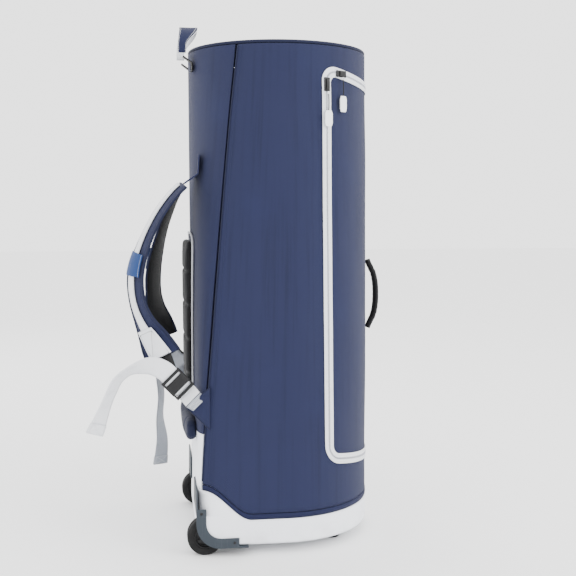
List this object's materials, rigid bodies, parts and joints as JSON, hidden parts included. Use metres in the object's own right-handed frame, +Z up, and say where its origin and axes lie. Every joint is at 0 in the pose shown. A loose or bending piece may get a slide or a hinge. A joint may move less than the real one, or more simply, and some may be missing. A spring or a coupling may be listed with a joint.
{
  "type": "wheeled backpack",
  "caption": "Tall round soft backpack on two corner wheels, with a zipped front flap, padded straps, a front grip and a haul loop.",
  "frame": {"origin": "on the floor, under the centre of the whole object's bounding box", "axes": "+Z up, +X to the front with the flap and the grip, -X to the wearer's back, left strap at -Y"},
  "size_m": [0.5991, 0.3772, 1.0336],
  "materials": {
    "navy_fabric": "tightly woven coated polyester, soft sheen",
    "dark_binding": "folded binding tape",
    "white_coated": "welded white tarpaulin, satin",
    "zip_tape": "coated zip tape with moulded chain",
    "white_webbing": "ribbed polyester webbing",
    "grey_webbing": "ribbed polyester webbing",
    "black_fabric": "padded mesh and webbing",
    "pull_cord": "braided cord",
    "tag_plastic": "moulded soft plastic",
    "black_plastic": "moulded, fine grain",
    "guard_plastic": "moulded, lightly brushed and scuffed",
    "tyre": "matt rubber",
    "steel": "plain steel",
    "label": "woven patch with no lettering",
    "piping": "corded edge piping",
    "board": "ribbed polypropylene sheet"
  },
  "bodies": {
    "bag": {"base_tub": "white_coated", "base_board": "board", "body_wrap": "navy_fabric", "back_panel": "navy_fabric", "lower_back_panel": "white_coated", "back_stiffener": "board", "top_cap": "navy_fabric", "rim_binding": "dark_binding", "hem_binding": "dark_binding", "zip_tape_body": "zip_tape", "flap_hinge_binding": "dark_binding", "haul_anchor_left": "black_fabric", "haul_anchor_right": "black_fabric", "strap_wing_left": "navy_fabric", "strap_wing_right": "navy_fabric", "strap_anchor_left": "dark_binding", "strap_anchor_right": "dark_binding", "back_pad": "black_fabric", "pad_piping": "piping", "lumbar_bolster": "dark_binding", "corner_guard_left": "guard_plastic", "corner_guard_right": "guard_plastic", "wheel_housing_left": "white_coated", "wheel_housing_right": "white_coated", "wheel_axle_left": "steel", "wheel_axle_right": "steel", "front_foot_left": "black_plastic", "front_foot_right": "black_plastic"},
    "flap": {"front_flap": "navy_fabric", "zip_tape_flap": "zip_tape", "front_handle_strip": "black_fabric"},
    "side_slider": {"zip_slider_side": "black_plastic"},
    "top_slider": {"zip_slider_top": "black_plastic"},
    "side_pull": {"zip_ring_side": "steel", "pull_cord_side": "pull_cord", "pull_tag_side": "tag_plastic"},
    "top_pull": {"zip_ring_top": "steel", "pull_cord_top": "pull_cord", "pull_tag_top": "tag_plastic"},
    "front_handle": {"front_handle_grip": "black_fabric"},
    "haul_loop": {"haul_loop_band": "navy_fabric", "haul_loop_lining": "white_webbing"},
    "strap_left": {"strap_pad_left": "navy_fabric", "strap_webbing_left": "white_webbing", "strap_label_left": "label", "ladder_lock_left": "black_plastic", "adjuster_webbing_left": "white_webbing"},
    "wheel_left": {"tyre_left": "tyre", "wheel_hub_left": "black_plastic"},
    "strap_right": {"strap_pad_right": "navy_fabric", "strap_webbing_right": "white_webbing", "strap_label_right": "label", "ladder_lock_right": "black_plastic", "adjuster_webbing_right": "grey_webbing"},
    "wheel_right": {"tyre_right": "tyre", "wheel_hub_right": "black_plastic"}
  },
  "joints": [
    {"name": "flap_open", "type": "hinge", "parent": "bag", "child": "flap", "pos_m": [0.15919, 0.16821, 0.5525], "axis": [0, 0, 1], "range_deg": [0, 110]},
    {"name": "side_slider_slide", "type": "slide", "parent": "flap", "child": "side_slider", "axis": [0.0098, 0.0046, -0.9999], "range_m": [0, 0.64]},
    {"name": "top_slider_run", "type": "hinge", "parent": "flap", "child": "top_slider", "pos_m": [0.08655, 0, 0.94395], "axis": [0.2055, 0, 0.9787], "range_deg": [0, 108]},
    {"name": "side_pull_swing", "type": "hinge", "parent": "side_slider", "child": "side_pull", "pos_m": [0.16028, -0.17783, 0.8851], "axis": [-0.9129, -0.4083, 0], "range_deg": [0, 100]},
    {"name": "top_pull_swing", "type": "hinge", "parent": "top_slider", "child": "top_pull", "pos_m": [0.19248, -0.15957, 0.91499], "axis": [-0.8192, -0.5736, 0], "range_deg": [0, 100]},
    {"name": "front_handle_swing", "type": "hinge", "parent": "flap", "child": "front_handle", "pos_m": [0.27575, 0, 0.478], "axis": [0, 0, 1], "range_deg": [-25, 25]},
    {"name": "haul_loop_fold", "type": "hinge", "parent": "bag", "child": "haul_loop", "pos_m": [-0.11775, 0, 0.97], "axis": [0, -1, 0], "range_deg": [-5, 110]},
    {"name": "strap_swing_left", "type": "hinge", "parent": "bag", "child": "strap_left", "pos_m": [-0.11525, -0.095, 0.706], "axis": [-0.0349, 0.1803, 0.983], "range_deg": [-12, 12]},
    {"name": "strap_swing_right", "type": "hinge", "parent": "bag", "child": "strap_right", "pos_m": [-0.11525, 0.095, 0.706], "axis": [0.0349, 0.1803, -0.983], "range_deg": [-12, 12]},
    {"name": "wheel_spin_left", "type": "hinge", "parent": "bag", "child": "wheel_left", "pos_m": [-0.07625, -0.1595, 0.035], "axis": [0, 1, 0], "continuous": true},
    {"name": "wheel_spin_right", "type": "hinge", "parent": "bag", "child": "wheel_right", "pos_m": [-0.07625, 0.1595, 0.035], "axis": [0, 1, 0], "continuous": true}
  ]
}
